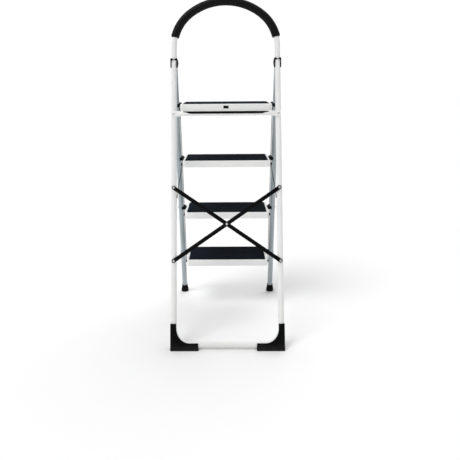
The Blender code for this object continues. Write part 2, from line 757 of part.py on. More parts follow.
def pad(step):
    back, front = step_reach(step)
    half = step_half_width(step)
    low = (PAD_INSET - half, PAD_INSET - back)
    high = (half - PAD_INSET, front - PAD_INSET)
    outline = rounded_rectangle(low, high, PAD_CORNER_R)
    mesh = plate([outline], PAD_THICKNESS, "level", PAD_TOP - PAD_THICKNESS / 2)
    node(f"{step}_pad", mesh, STEP_DATUM[step], BLACK_RUBBER)


# Latch under the platform's rear edge

LATCH_DATUM = empty("latch_pin_datum", (0.0, *(STEP_PIVOT["platform"] + LATCH_PIN)))
BOSS_R = 0.0030
BLADE = 0.0015               # half the blade's thickness
BUTTON_REACH = 0.0080
BUTTON_TOP = 0.0001
BUTTON_LOW = -0.0085
NOSE_REACH = 0.0124
NOSE_TOP = -0.0353
NOSE_LOW = -0.0381
NOTCH_X = 0.0040             # the spring's notch starts here
SPRING_X = (0.0050, 0.0108)
SPRING_R = 0.0025
SPRING_WIRE_R = 0.0004


def latch():
    """Lever whose nose blocks the cross tube when let go; drawn pressed in."""
    outline = arc((0.0, 0.0), BOSS_R, 0.0, 175.0, 8)
    outline += [(-BUTTON_REACH, BUTTON_TOP), (-BUTTON_REACH, BUTTON_LOW), (-0.0035, BUTTON_LOW - 0.0004),
                (-BLADE, BUTTON_LOW - 0.0004), (-BLADE, NOSE_TOP), (0.001 - NOSE_REACH, NOSE_TOP),
                (-NOSE_REACH, NOSE_TOP - 0.001), (-NOSE_REACH, NOSE_LOW), (BLADE, NOSE_LOW),
                (BLADE, -BOSS_R)]
    mesh = plate([outline], 2 * LATCH_HALF_WIDTH, "side")
    mesh.transform(Matrix.Rotation(LATCH_PRESS, 4, "X"))
    lever = node("latch_lever", mesh, LATCH_DATUM, BLACK_PLASTIC)
    boolean(lever, box((NOTCH_X, -0.0034, -0.0040), (0.02, 0.01, 0.01)), LATCH_DATUM)
    end = EAR_X + SHEET / 2
    boolean(lever, rods([((-end, 0, 0), (end, 0, 0), TRUNNION_R)]), LATCH_DATUM, "UNION")

    turns = 4
    per_turn = 8
    coil = []
    for i in range(turns * per_turn + 1):
        turn = 2 * pi * i / per_turn
        x = SPRING_X[0] + (SPRING_X[1] - SPRING_X[0]) * i / (turns * per_turn)
        coil.append((x, LATCH_PIN.x + SPRING_R * cos(turn), LATCH_PIN.y + SPRING_R * sin(turn)))
    node("latch_spring", swept(coil, SPRING_WIRE_R, resolution=1), STEP_DATUM["platform"], ZINC)


# Linkage

TIE_DATUM = empty("tie_bar_datum", (0.0, *(STEP_PIVOT["tread_2"] + TIE_PIN)))
LINK_LOW = Vector((LINK_LOW_S * sin(REAR_LEAN) - CENTRE_Y, LINK_LOW_S * cos(REAR_LEAN)))
LINK_DATUM = empty("link_bar_datum", (0.0, *LINK_LOW))


def tie_bars():
    spacing = RISE / cos(FRONT_LEAN)
    loops = [stadium(3 * spacing, BAR_HALF_WIDTH)]
    loops += [circle((i * spacing, 0.0), PIN_HOLE, 10) for i in range(4)]
    to_rail = Matrix.Translation((0, spacing * 2 * sin(FRONT_LEAN), -spacing * 2 * cos(FRONT_LEAN)))
    lean = Matrix.Rotation(pi / 2 + FRONT_LEAN, 4, "X")
    for name, side, _ in SIDES:
        mesh = plate(loops, TIE_X[1] - TIE_X[0], "side", side * sum(TIE_X) / 2)
        mesh.transform(to_rail @ lean)
        node(f"tie_bar_{name}", mesh, TIE_DATUM, BLACK_STEEL)


def link_bars():
    reach = STEP_PIVOT["tread_2"] + TIE_PIN - LINK_LOW
    length = reach.length
    thickness = LINK_TUBE_X[1] - LINK_TUBE_X[0]
    step_out = LINK_TUBE_X[0] - LINK_STEP_X[0]
    stations = [length * t for t in (0.15, 0.3, 0.45, 0.6, 0.75, 0.88)]
    for name, side, _ in SIDES:
        loops = [stadium(length, BAR_HALF_WIDTH), circle((0.0, 0.0), PIN_HOLE, 10),
                 circle((length, 0.0), PIN_HOLE, 10)]
        mesh = plate(loops, thickness, "front")
        bend(mesh, stations, lambda x: side * step_out * ease((x / length - 0.15) / 0.73))
        stand = Matrix(((0, -1, 0, 0), (1, 0, 0, 0), (0, 0, 1, 0), (0, 0, 0, 1)))
        tilt = Matrix.Rotation(atan2(reach.y, reach.x), 4, "X")
        place = Matrix.Translation((side * sum(LINK_TUBE_X) / 2, 0.0, 0.0))
        mesh.transform(place @ tilt @ stand)
        node(f"link_bar_{name}", mesh, LINK_DATUM, BLACK_STEEL)


rear_u_tube()
hoop()
hoop_plugs()
cross_tube()
rest_strip()
brace_bars()
corner_feet()
hinge_brackets()
bracket_fasteners()
link_lower_pins()
rails()
front_feet()
step_pivot_bolts()
saddles()
for step in STEPS:
    pan(step)
    pad(step)
latch()
tie_bars()
link_bars()
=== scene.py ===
"""Looks of a folding step ladder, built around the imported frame.

Metres, +Z up, in the frame's own coordinates. The braced rear frame faces -Y, the climbing side +Y.
Rear frame pieces are drawn as (x, n, s), with s up along the uprights and n out towards the front
frame; front frame pieces likewise, from the main pivot; step pieces from their own pivots.
"""
import json
from math import acos, asin, atan2, cos, degrees, hypot, pi, radians, sin

import bmesh
import bpy
from mathutils import Matrix, Vector


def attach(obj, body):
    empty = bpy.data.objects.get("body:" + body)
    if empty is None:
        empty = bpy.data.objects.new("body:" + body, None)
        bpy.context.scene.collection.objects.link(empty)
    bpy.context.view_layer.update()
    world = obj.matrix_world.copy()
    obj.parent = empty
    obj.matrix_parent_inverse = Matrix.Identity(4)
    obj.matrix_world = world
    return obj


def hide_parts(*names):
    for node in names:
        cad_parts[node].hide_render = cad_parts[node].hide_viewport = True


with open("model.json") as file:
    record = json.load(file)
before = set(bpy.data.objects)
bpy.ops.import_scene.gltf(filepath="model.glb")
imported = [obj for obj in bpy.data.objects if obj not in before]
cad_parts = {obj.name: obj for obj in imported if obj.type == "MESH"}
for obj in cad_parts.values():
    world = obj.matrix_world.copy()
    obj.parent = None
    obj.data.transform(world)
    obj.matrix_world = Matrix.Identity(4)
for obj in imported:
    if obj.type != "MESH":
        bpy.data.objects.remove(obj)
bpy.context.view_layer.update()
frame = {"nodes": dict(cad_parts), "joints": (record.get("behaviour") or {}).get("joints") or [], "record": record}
JOINTS = {joint["name"]: joint for joint in frame["joints"]}
MOUNTS = {mount["name"]: mount for mount in frame["record"]["mounts"]}

# Dimensions shared with the frame; S is a height along the uprights, N a distance out from them
TUBE_R = 0.0125
HALF_PITCH = 0.2275
REAR_LEAN = radians(11.7)
FRONT_LEAN = radians(17.7)
GAP = 0.0003
BOTTOM_S = 0.0195
BEND_R = 0.068
BRACE_BOTTOM_S = 0.371
BRACE_TOP_S = 0.682
CROSS_S = 1.0019
CROSS_N = -0.0153
CROSS_R = 0.009
TUBE_JOINT_S = 1.2412
HOOP_S = 1.304
HOOP_SIDE_R = 0.188
HOOP_TURN = 51.0
PIVOT_S = 1.2365
PIVOT_N = 0.029
SCREW_S = 1.2445
RISE = 0.2598
PAD_TOP = 0.010
PAD_THICKNESS = 0.0027
PAD_INSET = 0.010
SHEET = 0.0012
TIE_PIN = Vector((-0.100, -0.0135))
BAR_HALF_WIDTH = 0.005
LINK_TUBE_X = (0.2125, 0.2143)
LINK_STEP_X = (0.2050, 0.2068)
TIE_X = (0.2026, 0.2044)
LATCH_HALF_WIDTH = 0.0115
LATCH_PRESS = radians(14.0)
SADDLE_X = (0.2048, 0.2235)
BRACE_THICKNESS = 0.0025
FOOT_THICKNESS = 0.032
FRONT_FOOT_R = 0.019
BRACKET_HALF_WIDTH = 0.0155

# Dimensions of the visual model alone
MERGE = 1e-6
CLEARANCE = 0.0002
HEAD_BITE = 0.0002
STUD_HEAD = (0.0036, 0.0012)
BUSH_SEAT = 0.0036
EAR_X = LATCH_HALF_WIDTH + GAP + SHEET / 2

SIDES = (("left", -1, "-x"), ("right", 1, "+x"))
STEPS = ("tread_4", "tread_3", "tread_2", "platform")


def reach(step):
    """Depth of a step behind and in front of its pivot."""
    return (0.135, 0.105) if step == "platform" else (0.157, 0.073)


def half_width(step):
    return 0.2015 if step == "platform" else 0.199


def apron(step):
    """Depth of a step's edge below its pivot."""
    return 0.0208 if step == "platform" else 0.0200


def joint_point(name):
    return Vector(JOINTS[name]["pos_m"])


PIVOT = joint_point("frame_fold")
RAIL_TO_FLOOR = PIVOT.z / cos(FRONT_LEAN)
REAR = (Matrix.Translation((0.0, MOUNTS["rear_foot_left"]["pos_m"][1], 0.0))
        @ Matrix.Rotation(-REAR_LEAN, 4, "X"))
FRONT = Matrix.Translation(PIVOT) @ Matrix.Rotation(FRONT_LEAN, 4, "X")
STEP = {step: Matrix.Translation(joint_point(f"{step}_turn")) for step in STEPS}
LATCH = Matrix.Translation(joint_point("latch_press"))
LATCH_PIN = joint_point("latch_press") - joint_point("platform_turn")


# Shapes

def arc(centre, radius, start, end, count):
    turns = [radians(start + (end - start) * i / count) for i in range(count + 1)]
    return [(centre[0] + radius * cos(t), centre[1] + radius * sin(t)) for t in turns]


def rounded_rectangle(low, high, radius, count=8):
    corners = ((high[0], low[1], -90.0), (high[0], high[1], 0.0),
               (low[0], high[1], 90.0), (low[0], low[1], 180.0))
    points = []
    for x, y, start in corners:
        centre = (x - radius if x == high[0] else x + radius,
                  y - radius if y == high[1] else y + radius)
        points += arc(centre, radius, start, start + 90.0, count)
    return points


def stadium(length, half_width, count=14):
    return (arc((length, 0.0), half_width, -90.0, 90.0, count)
            + arc((0.0, 0.0), half_width, 90.0, 270.0, count))


def ease(t):
    t = min(max(t, 0.0), 1.0)
    return t * t * (3.0 - 2.0 * t)


def evaluated(data, modify=None):
    guide = bpy.data.objects.new("guide", data)
    bpy.context.scene.collection.objects.link(guide)
    if modify:
        modify(guide)
    graph = bpy.context.evaluated_depsgraph_get()
    mesh = bpy.data.meshes.new_from_object(guide.evaluated_get(graph))
    bpy.data.objects.remove(guide)
    return mesh


def opened(mesh):
    work = bmesh.new()
    work.from_mesh(mesh)
    return work


def closed(work, mesh=None):
    """Writes a bmesh into a mesh and frees it."""
    mesh = mesh or bpy.data.meshes.new("made")
    work.to_mesh(mesh)
    work.free()
    return mesh


def weld(mesh):
    work = opened(mesh)
    bmesh.ops.remove_doubles(work, verts=work.verts, dist=MERGE)
    bmesh.ops.recalc_face_normals(work, faces=work.faces)
    return closed(work, mesh)


PLANES = {"level": Matrix.Identity(4),
          "front": Matrix.Rotation(pi / 2, 4, "X"),
          "side": Matrix(((0, 0, 1, 0), (1, 0, 0, 0), (0, 1, 0, 0), (0, 0, 0, 1)))}


def plate(loops, thickness, plane, centre=0.0, bevel=0.0, segments=3):
    """Flat piece from an outline and its holes, with its edges rounded by bevel."""
    curve = bpy.data.curves.new("outline", "CURVE")
    curve.dimensions = "2D"
    curve.fill_mode = "BOTH"
    curve.extrude = thickness / 2
    for loop in loops:
        spline = curve.splines.new("POLY")
        spline.points.add(len(loop) - 1)
        for point, (u, v) in zip(spline.points, loop):
            point.co = (u, v, 0.0, 1.0)
        spline.use_cyclic_u = True
    mesh = weld(evaluated(curve))
    bpy.data.curves.remove(curve)
    work = opened(mesh)
    bmesh.ops.dissolve_limit(work, angle_limit=radians(0.5), verts=work.verts, edges=work.edges)
    closed(work, mesh)
    mesh.transform(PLANES[plane] @ Matrix.Translation((0.0, 0.0, centre)))
    return softened(mesh, bevel, segments) if bevel else mesh


def softened(mesh, width, segments=3, angle=50.0):
    mesh.shade_smooth()

    def modify(guide):
        bevel = guide.modifiers.new("bevel", "BEVEL")
        bevel.width = width
        bevel.segments = segments
        bevel.limit_method = "ANGLE"
        bevel.angle_limit = radians(angle)
        bevel.harden_normals = True

    return evaluated(mesh, modify)


def swept(points, radius, resolution=14, radii=None):
    """Capped tube along the points, its radius scaled at each point by radii."""
    curve = bpy.data.curves.new("path", "CURVE")
    curve.dimensions = "3D"
    curve.bevel_depth = radius
    curve.bevel_resolution = resolution
    curve.use_fill_caps = True
    spline = curve.splines.new("POLY")
    spline.points.add(len(points) - 1)
    for i, co in enumerate(points):
        spline.points[i].co = (*co, 1.0)
        spline.points[i].radius = radii[i] if radii else 1.0
    mesh = weld(evaluated(curve))
    bpy.data.curves.remove(curve)
    return mesh


def turned(profile, steps=32):
    """Profile of (radius, height) points turned about Z."""
    mesh = bpy.data.meshes.new("profile")
    edges = [(i, i + 1) for i in range(len(profile) - 1)]
    mesh.from_pydata([(r, 0.0, z) for r, z in profile], edges, [])

    def revolve(guide):
        screw = guide.modifiers.new("screw", "SCREW")
        screw.steps = steps
        screw.render_steps = steps
        screw.use_merge_vertices = True
        screw.merge_threshold = MERGE

    return weld(evaluated(mesh, revolve))


def box(low, high):
    work = bmesh.new()
    size = Vector(high) - Vector(low)
    place = Matrix.Translation((Vector(high) + Vector(low)) / 2) @ Matrix.Diagonal((*size, 1.0))
    bmesh.ops.create_cube(work, size=1.0, matrix=place)
    return closed(work)


def rod(start, end, radius, steps=32):
    run = Vector(end) - Vector(start)
    turn = Vector((0, 0, 1)).rotation_difference(run).to_matrix().to_4x4()
    work = bmesh.new()
    bmesh.ops.create_cone(work, cap_ends=True, segments=steps, radius1=radius, radius2=radius,
                          depth=run.length, matrix=Matrix.Translation(Vector(start) + run / 2) @ turn)
    return closed(work)


def carved(mesh, *cuts):
    """Mesh with each cutter taken away."""
    cutters = []

    def modify(guide):
        for cut in cuts:
            cutter = bpy.data.objects.new("cutter", cut)
            bpy.context.scene.collection.objects.link(cutter)
            cutters.append(cutter)
            modifier = guide.modifiers.new("cut", "BOOLEAN")
            modifier.operation = "DIFFERENCE"
            modifier.object = cutter

    made = evaluated(mesh, modify)
    for cutter in cutters:
        bpy.data.objects.remove(cutter)
    return made


def joined(*meshes):
    work = bmesh.new()
    for mesh in meshes:
        work.from_mesh(mesh)
    return closed(work)


def bend(mesh, stations, offset):
    """Cuts a bar lying along X at the stations and moves it along Y by offset(x)."""
    work = opened(mesh)
    for x in stations:
        geometry = work.verts[:] + work.edges[:] + work.faces[:]
        bmesh.ops.bisect_plane(work, geom=geometry, plane_co=(x, 0, 0), plane_no=(1, 0, 0))
    for vertex in work.verts:
        vertex.co.y += offset(vertex.co.x)
    return closed(work, mesh)


def loft(rings):
    """Skin through rings of equal point counts, the first ring closed by a face."""
    work = bmesh.new()
    loops = [[work.verts.new(co) for co in ring] for ring in rings]
    for upper, lower in zip(loops, loops[1:]):
        count = len(upper)
        for i in range(count):
            work.faces.new((upper[i], lower[i], lower[(i + 1) % count], upper[(i + 1) % count]))
    work.faces.new(loops[0])
    bmesh.ops.recalc_face_normals(work, faces=work.faces)
    return closed(work)


# Turns a fastener drawn along Z so that its head points this way
AIM = {"+x": Matrix.Rotation(pi / 2, 4, "Y"), "-x": Matrix.Rotation(-pi / 2, 4, "Y"),
       "-y": Matrix.Rotation(pi / 2, 4, "X")}


def piece(name, mesh, place, body, look, *nodes, sharp=40.0):
    """A finished piece: moved into the frame, given its material, riding on its body."""
    mesh = mesh.copy()
    mesh.transform(place)
    mesh.name = name
    mesh.shade_smooth()
    mesh.set_sharp_from_angle(angle=radians(sharp))
    mesh.materials.clear()
    mesh.materials.append(MATERIALS[look])
    obj = bpy.data.objects.new(name, mesh)
    bpy.context.scene.collection.objects.link(obj)
    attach(obj, body)
    if nodes:
        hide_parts(*nodes)
    return obj


# Materials

class Nodes:
    """Small helper for building a Principled material."""

    def __init__(self, name):
        self.material = bpy.data.materials.new(name)
        self.material.use_nodes = True
        self.tree = self.material.node_tree
        self.shader = self.tree.nodes["Principled BSDF"]
        self.coordinates = self.tree.nodes.new("ShaderNodeTexCoord").outputs["Object"]

    def put(self, socket, value):
        """Links a socket to another, or sets its constant."""
        if isinstance(value, bpy.types.NodeSocket):
            self.tree.links.new(value, socket)
        else:
            socket.default_value = value

    def new(self, kind, inputs=None, **settings):
        node = self.tree.nodes.new(kind)
        for key, value in settings.items():
            setattr(node, key, value)
        for key, value in (inputs or {}).items():
            self.put(node.inputs[key], value)
        return node

    def noise(self, scale, detail=3.0, roughness=0.55, stretch=None):
        where = self.coordinates
        if stretch:
            where = self.new("ShaderNodeMapping", {"Vector": where, "Scale": stretch}).outputs[0]
        return self.new("ShaderNodeTexNoise", {"Vector": where, "Scale": scale, "Detail": detail,
                                               "Roughness": roughness}).outputs["Fac"]

    def cells(self, scale):
        return self.new("ShaderNodeTexVoronoi", {"Vector": self.coordinates, "Scale": scale},
                        feature="F1").outputs["Distance"]

    def remap(self, value, low, high, to_low, to_high):
        return self.new("ShaderNodeMapRange", {"Value": value, "From Min": low, "From Max": high,
                                               "To Min": to_low, "To Max": to_high}).outputs[0]

    def mix(self, factor, first, second):
        node = self.new("ShaderNodeMix", data_type="RGBA")
        for index, value in ((0, factor), (6, first), (7, second)):
            self.put(node.inputs[index], value)
        return node.outputs[2]

    def math(self, operation, first, second=0.0):
        node = self.new("ShaderNodeMath", operation=operation)
        for socket, value in zip(node.inputs, (first, second)):
            self.put(socket, value)
        return node.outputs[0]

    def height(self):
        return self.new("ShaderNodeSeparateXYZ", {"Vector": self.coordinates}).outputs["Z"]

    def edges(self, low, high):
        """1 on worn edges, 0 elsewhere, from the surface's pointiness."""
        geometry = self.tree.nodes.new("ShaderNodeNewGeometry")
        return self.remap(geometry.outputs["Pointiness"], low, high, 0.0, 1.0)

    def bump(self, height, strength, distance):
        node = self.new("ShaderNodeBump", {"Height": height, "Strength": strength, "Distance": distance})
        self.tree.links.new(node.outputs[0], self.shader.inputs["Normal"])

    def finish(self, colour, roughness, metallic=0.0, **constants):
        for key, value in (("Base Color", colour), ("Roughness", roughness), ("Metallic", metallic)):
            self.put(self.shader.inputs[key], value)
        for key, value in constants.items():
            self.shader.inputs[key.replace("_", " ")].default_value = value
        return self.material


def powder_coat(name, film, dust_colour, dust_share, speck_colour, rough, **coat):
    """Mottled paint with floor dust low down, fine specks and orange peel."""
    n = Nodes(name)
    colour = n.mix(n.remap(n.noise(7.0, 3.0), 0.35, 0.7, 0.0, 1.0), *film)
    dust = n.math("MULTIPLY", n.remap(n.height(), 0.0, 0.45, dust_share, 0.0), n.noise(26.0, 5.0, 0.65))
    colour = n.mix(dust, colour, dust_colour)
    specks = n.remap(n.noise(900.0, 1.0), 0.70, 0.78, 0.0, 0.35)
    colour = n.mix(specks, colour, speck_colour)
    peel = n.math("ADD", n.noise(520.0, 2.0), n.math("MULTIPLY", n.noise(120.0, 2.0), 0.5))
    n.bump(peel, 0.10, 0.0004)
    return n.finish(colour, n.remap(n.noise(40.0, 4.0), 0.3, 0.7, *rough), **coat)


def white_paint():
    film = (0.84, 0.85, 0.84, 1), (0.88, 0.885, 0.875, 1)
    return powder_coat("white_paint", film, (0.66, 0.66, 0.63, 1), 0.5, (0.72, 0.72, 0.70, 1),
                       (0.30, 0.42), Coat_Weight=0.15, Coat_Roughness=0.18)


def grey_paint():
    # Blue-grey film for the climbing rails: partly their own tone, partly painted shade for their down-facing
    # sides
    film = (0.36, 0.42, 0.45, 1), (0.40, 0.46, 0.49, 1)
    return powder_coat("grey_paint", film, (0.34, 0.36, 0.37, 1), 0.4, (0.30, 0.33, 0.35, 1),
                       (0.34, 0.46), Coat_Weight=0.10, Coat_Roughness=0.2)


def black_paint():
    n = Nodes("black_paint")
    wear = n.math("MULTIPLY", n.edges(0.52, 0.60), n.noise(90.0, 4.0))
    colour = n.mix(n.noise(60.0, 4.0), (0.002, 0.002, 0.0022, 1), (0.0035, 0.0035, 0.004, 1))
    colour = n.mix(n.math("MULTIPLY", wear, 0.20), colour, (0.10, 0.10, 0.105, 1))
    n.bump(n.noise(700.0, 3.0), 0.18, 0.0004)
    return n.finish(colour, n.remap(n.noise(55.0, 4.0), 0.3, 0.7, 0.46, 0.62), Specular_IOR_Level=0.05)


def black_plastic():
    n = Nodes("black_plastic")
    colour = n.mix(n.noise(35.0, 4.0), (0.002, 0.002, 0.0024, 1), (0.0045, 0.0045, 0.005, 1))
    colour = n.mix(n.math("MULTIPLY", n.edges(0.53, 0.62), 0.20), colour, (0.07, 0.07, 0.075, 1))
    n.bump(n.cells(1400.0), 0.22, 0.0003)
    return n.finish(colour, n.remap(n.noise(80.0, 4.0), 0.3, 0.7, 0.42, 0.56), Specular_IOR_Level=0.06)


def foot_rubber():
    n = Nodes("foot_rubber")
    colour = n.mix(n.noise(30.0, 5.0), (0.002, 0.002, 0.0024, 1), (0.0045, 0.0045, 0.005, 1))
    dust = n.math("MULTIPLY", n.remap(n.height(), 0.0, 0.03, 0.22, 0.0), n.noise(55.0, 6.0, 0.7))
    colour = n.mix(dust, colour, (0.10, 0.095, 0.09, 1))
    colour = n.mix(n.math("MULTIPLY", n.edges(0.53, 0.62), 0.16), colour, (0.06, 0.06, 0.06, 1))
    n.bump(n.math("ADD", n.cells(1000.0), n.noise(300.0, 3.0)), 0.25, 0.0003)
    return n.finish(colour, n.remap(n.noise(60.0, 4.0), 0.3, 0.7, 0.60, 0.80), Specular_IOR_Level=0.05)


def tread_rubber():
    n = Nodes("tread_rubber")
    colour = n.mix(n.noise(22.0, 5.0), (0.0025, 0.005, 0.009, 1), (0.005, 0.009, 0.015, 1))
    scuffs = n.remap(n.noise(9.0, 6.0, 0.7, stretch=(1.0, 4.0, 1.0)), 0.56, 0.72, 0.0, 0.22)
    colour = n.mix(scuffs, colour, (0.020, 0.026, 0.036, 1))
    colour = n.mix(n.math("MULTIPLY", n.edges(0.52, 0.60), 0.20), colour, (0.045, 0.052, 0.065, 1))
    n.bump(n.math("ADD", n.cells(1600.0), n.noise(420.0, 3.0)), 0.28, 0.0003)
    return n.finish(colour, n.remap(n.noise(70.0, 4.0), 0.3, 0.7, 0.72, 0.90), Specular_IOR_Level=0.04)


def foam_grip():
    n = Nodes("foam_grip")
    colour = n.mix(n.noise(45.0, 5.0), (0.002, 0.002, 0.0024, 1), (0.0045, 0.0045, 0.005, 1))
    pores = n.remap(n.cells(2200.0), 0.0, 0.5, 0.0, 1.0)
    n.bump(n.math("ADD", pores, n.noise(500.0, 4.0)), 0.45, 0.0004)
    return n.finish(colour, n.remap(n.noise(120.0, 4.0), 0.3, 0.7, 0.38, 0.52), Specular_IOR_Level=0.12,
                    Sheen_Weight=0.01, Sheen_Roughness=0.5)


def zinc_steel():
    n = Nodes("zinc_steel")
    swirl = n.noise(260.0, 5.0, 0.7)
    colour = n.mix(swirl, (0.58, 0.585, 0.60, 1), (0.78, 0.78, 0.77, 1))
    stain = n.remap(n.noise(90.0, 4.0), 0.60, 0.75, 0.0, 0.35)
    colour = n.mix(stain, colour, (0.40, 0.39, 0.37, 1))
    n.bump(n.noise(1800.0, 3.0), 0.12, 0.0002)
    return n.finish(colour, n.remap(swirl, 0.3, 0.7, 0.24, 0.40), 1.0)


LOOKS = (white_paint, grey_paint, black_paint, black_plastic, foot_rubber, tread_rubber, foam_grip,
         zinc_steel)
MATERIALS = {made.__name__: made() for made in LOOKS}


# Rear frame

def u_path(top, count=28):
    """Axis of the U tube, down one upright, along the floor and up the other."""
    left = arc((-HALF_PITCH + BEND_R, BOTTOM_S + BEND_R), BEND_R, 180.0, 270.0, count)
    right = arc((HALF_PITCH - BEND_R, BOTTOM_S + BEND_R), BEND_R, 270.0, 360.0, count)
    line = [(-HALF_PITCH, top)] + left + right + [(HALF_PITCH, top)]
    return [(x, 0.0, s) for x, s in line]


def hoop_point(turn):
    """Point of the hoop's axis at a turn from 0 (start of the right bend) to 180 degrees."""
    if turn > 90.0:
        x, n, z = hoop_point(180.0 - turn)
        return (-x, n, z)
    side_x = HALF_PITCH - HOOP_SIDE_R
    t = radians(min(turn, HOOP_TURN))
    x, z = side_x + HOOP_SIDE_R * cos(t), HOOP_S + HOOP_SIDE_R * sin(t)
    if turn > HOOP_TURN:
        top_r = x / cos(t)
        return (top_r * cos(radians(turn)), 0.0, z + top_r * (sin(radians(turn)) - sin(t)))
    return (x, 0.0, z)


def rear_tubes():
    piece("upright_tube", swept(u_path(TUBE_JOINT_S), TUBE_R), REAR, "rear_frame", "white_paint",
          "rear_u_tube")
    start = TUBE_JOINT_S + GAP
    count = 120
    bow = [hoop_point(180.0 * i / count) for i in range(count + 1)]
    path = [(HALF_PITCH, 0.0, start)] + bow + [(-HALF_PITCH, 0.0, start)]
    piece("handrail_tube", swept(path, TUBE_R), REAR, "rear_frame", "white_paint", "hoop_tube")


def foam_sleeve():
    radius = 0.0185
    start = 11.9
    # Degrees in from the sleeve's end, and the share of its radius there
    ends = [(0.0, 0.70), (0.12, 0.79), (0.4, 0.875), (0.9, 0.94), (1.6, 0.98), (2.6, 1.0)]
    count = 110
    first = start + ends[-1][0]
    middle = [(first + (180.0 - 2 * first) * i / count, 1.0) for i in range(1, count)]
    low = [(start + turn, scale) for turn, scale in ends]
    high = [(180.0 - turn, scale) for turn, scale in reversed(low)]
    stations = low + middle + high
    mesh = swept([hoop_point(turn) for turn, _ in stations], radius, radii=[scale for _, scale in stations])
    sleeve = piece("handrail_grip", mesh, REAR, "rear_frame", "foam_grip", "hoop_grip", sharp=60.0)


def cross_bar():
    """Round tube whose ends are pressed flat for the rivets."""
    half = 0.2385
    flat_start = 0.188
    flat_blend = 0.024
    tip_length = 0.006
    stations = [-half + (half - flat_start) * i / 24 for i in range(25)] + [0.0]
    stations += [-x for x in reversed(stations[:-1])]
    mesh = swept([(x, 0.0, 0.0) for x in stations], CROSS_R)
    for vertex in mesh.vertices:
        flat = ease((abs(vertex.co.x) - flat_start) / flat_blend)
        vertex.co.y *= 1.0 - 0.72 * flat
        vertex.co.z *= 1.0 + 0.36 * flat
        tip = max(0.0, abs(vertex.co.x) - (half - tip_length)) / tip_length
        vertex.co.z *= 1.0 - 0.35 * tip * tip
    place = REAR @ Matrix.Translation((0.0, CROSS_N, CROSS_S))
    piece("cross_bar", softened(mesh, 0.0006, 2, 60.0), place, "rear_frame", "white_paint", "cross_tube")


def shade_support_strip():
    """Cover on top of the cross bar that tapers away towards its ends; it carries the platform's edge, and its
    black also paints in the shadow that the platform casts on the cross bar.
    """
    half = 0.186
    taper = 0.035
    inner = CROSS_R + GAP
    outer = inner + 0.0012
    stations = [-half + 2 * half * i / 60 for i in range(61)]
    rings = []
    for x in stations:
        cover = 1.0 - 0.55 * ease((abs(x) - (half - taper)) / taper)
        low = 90.0 - 82.0 * cover
        high = 90.0 + 98.0 * cover
        section = arc((0.0, 0.0), outer, low, high, 20) + arc((0.0, 0.0), inner, high, low, 20)
        rings.append([(x, n, s) for n, s in section])
    work = opened(loft(rings))
    bmesh.ops.holes_fill(work, edges=work.edges, sides=0)
    bmesh.ops.recalc_face_normals(work, faces=work.faces)
    mesh = closed(work)
    place = REAR @ Matrix.Translation((0.0, CROSS_N, CROSS_S))
    # Black rubber that also stands in for the platform's shadow on the cross bar: painted shade
    piece("shade_support_strip", mesh, place, "rear_frame", "foot_rubber", "rest_strip")


def braces():
    """Two crossed bars; the outer one bows over the inner one at the middle."""
    bar_half = 0.0086
    bow_end = 0.095
    bow_run = 0.065
    rise = BRACE_TOP_S - BRACE_BOTTOM_S
    length = hypot(2 * HALF_PITCH, rise)
    slope = atan2(rise, 2 * HALF_PITCH)
    middle = (BRACE_TOP_S + BRACE_BOTTOM_S) / 2
    thickness = BRACE_THICKNESS
    face = -TUBE_R - GAP - thickness / 2

    def bow(x):
        return -(thickness + GAP) * ease((bow_end - abs(x)) / bow_run)

    stations = [side * (0.03 + 0.005 * i) for side in (-1, 1) for i in range(14)]
    for name, tilt, bowed in (("inner", -slope, False), ("outer", slope, True)):
        mesh = plate([stadium(length, bar_half)], thickness, "front", 0.0, 0.0006, 2)
        mesh.transform(Matrix.Translation((-length / 2, 0.0, 0.0)))
        if bowed:
            bend(mesh, stations, bow)
        place = REAR @ Matrix.Translation((0.0, face, middle)) @ Matrix.Rotation(-tilt, 4, "Y")
        piece(f"cross_brace_{name}", mesh, place, "rear_frame", "black_paint", f"brace_bar_{name}")


def shank(radius, depth):
    """Rod from a head's seat down into the work."""
    return rod((0, 0, -depth), (0, 0, HEAD_BITE), radius, 16)


def rivet_head(radius, height):
    """Domed head with the small dimple that a blind rivet has."""
    hole = radius * 0.28
    rim = [(radius * cos(radians(a)), height * (0.25 + 0.75 * sin(radians(a)))) for a in range(80, -1, -10)]
    profile = [(0.0, height * 0.45), (hole * 0.8, height * 0.45), (hole, height * 0.95)]
    profile += [(r, z) for r, z in rim if r > hole * 1.1]
    profile += [(radius * 0.98, height * 0.08), (radius * 0.93, 0.0), (0.0, 0.0)]
    return turned(profile)


